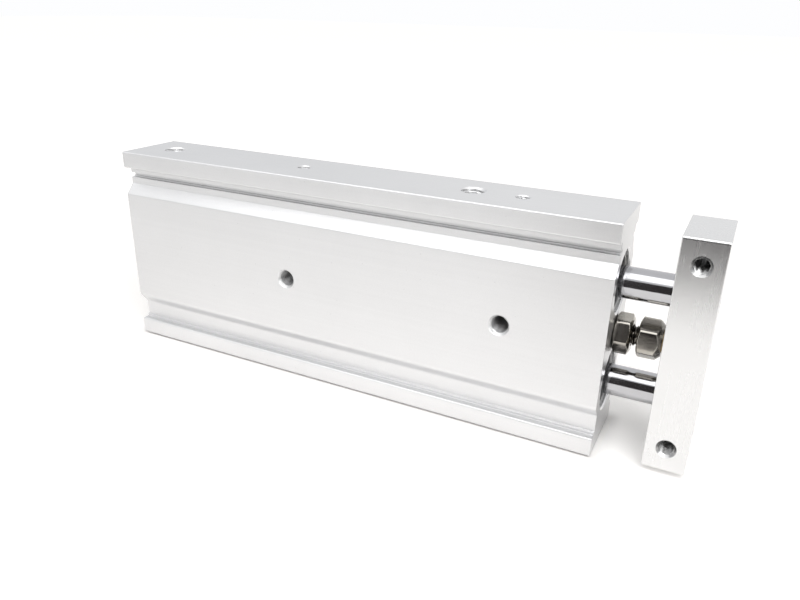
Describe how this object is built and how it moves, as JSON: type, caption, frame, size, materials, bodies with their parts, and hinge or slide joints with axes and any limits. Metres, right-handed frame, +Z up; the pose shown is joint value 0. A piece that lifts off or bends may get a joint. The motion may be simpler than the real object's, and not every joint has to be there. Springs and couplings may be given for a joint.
{
  "type": "guided pneumatic cylinder",
  "caption": "Compact guided pneumatic cylinder: slotted aluminium housing, parallel piston rods joined by an end plate, adjustable stop bolt and air ports.",
  "frame": {"origin": "centre of the housing's lower narrow side, on which it stands", "axes": "+X along the rods towards the end plate, +Y across the housing's narrow side, +Z up the housing's wide side"},
  "size_m": [0.1307, 0.017, 0.046],
  "materials": {
    "housing_anodised": "fine blasted, clear anodised, satin",
    "plate_aluminium": "milled and clear anodised, faint brushing",
    "rod_chrome": "ground and hard chromed, mirror bright",
    "cover_alloy": "turned, fine grooves",
    "piston_alloy": "turned",
    "ring_steel": "spring steel, lightly oiled",
    "screw_steel": "blackened alloy steel",
    "nut_nickel": "nickel plated, slightly warm, worn edges",
    "seal_rubber": "matt nitrile rubber",
    "bumper_urethane": "amber urethane, slightly glossy",
    "wear_plastic": "plain bearing plastic",
    "magnet_dark": "bonded magnet strip"
  },
  "bodies": {
    "housing": {"housing": "housing_anodised", "upper_rod_cover": "cover_alloy", "upper_rod_seal": "seal_rubber", "upper_rod_cover_o_ring": "seal_rubber", "upper_front_retaining_ring": "ring_steel", "upper_bumper_ring": "bumper_urethane", "upper_head_cover": "cover_alloy", "upper_head_cover_o_ring": "seal_rubber", "upper_rear_retaining_ring": "ring_steel", "lower_rod_cover": "cover_alloy", "lower_rod_seal": "seal_rubber", "lower_rod_cover_o_ring": "seal_rubber", "lower_front_retaining_ring": "ring_steel", "lower_bumper_ring": "bumper_urethane", "lower_head_cover": "cover_alloy", "lower_head_cover_o_ring": "seal_rubber", "lower_rear_retaining_ring": "ring_steel"},
    "plate_and_rods": {"end_plate": "plate_aluminium", "upper_piston_rod": "rod_chrome", "upper_piston": "piston_alloy", "upper_wear_ring": "wear_plastic", "upper_magnet": "magnet_dark", "upper_piston_seal": "seal_rubber", "upper_plate_screw": "screw_steel", "lower_piston_rod": "rod_chrome", "lower_piston": "piston_alloy", "lower_wear_ring": "wear_plastic", "lower_magnet": "magnet_dark", "lower_piston_seal": "seal_rubber", "lower_plate_screw": "screw_steel"},
    "stop_bolt": {"stop_bolt": "nut_nickel", "stop_pad": "bumper_urethane"},
    "lock_nut": {"lock_nut": "nut_nickel"}
  },
  "joints": [
    {"name": "rod_slide", "type": "slide", "parent": "housing", "child": "plate_and_rods", "axis": [1, 0, 0], "range_m": [0, 0.06]},
    {"name": "stop_adjust", "type": "slide", "parent": "housing", "child": "stop_bolt", "axis": [1, 0, 0], "range_m": [-0.001, 0]},
    {"name": "lock_nut_turn", "type": "hinge", "parent": "housing", "child": "lock_nut", "pos_m": [0.057, 0, 0.023], "axis": [1, 0, 0], "range_deg": [0, 360]}
  ]
}
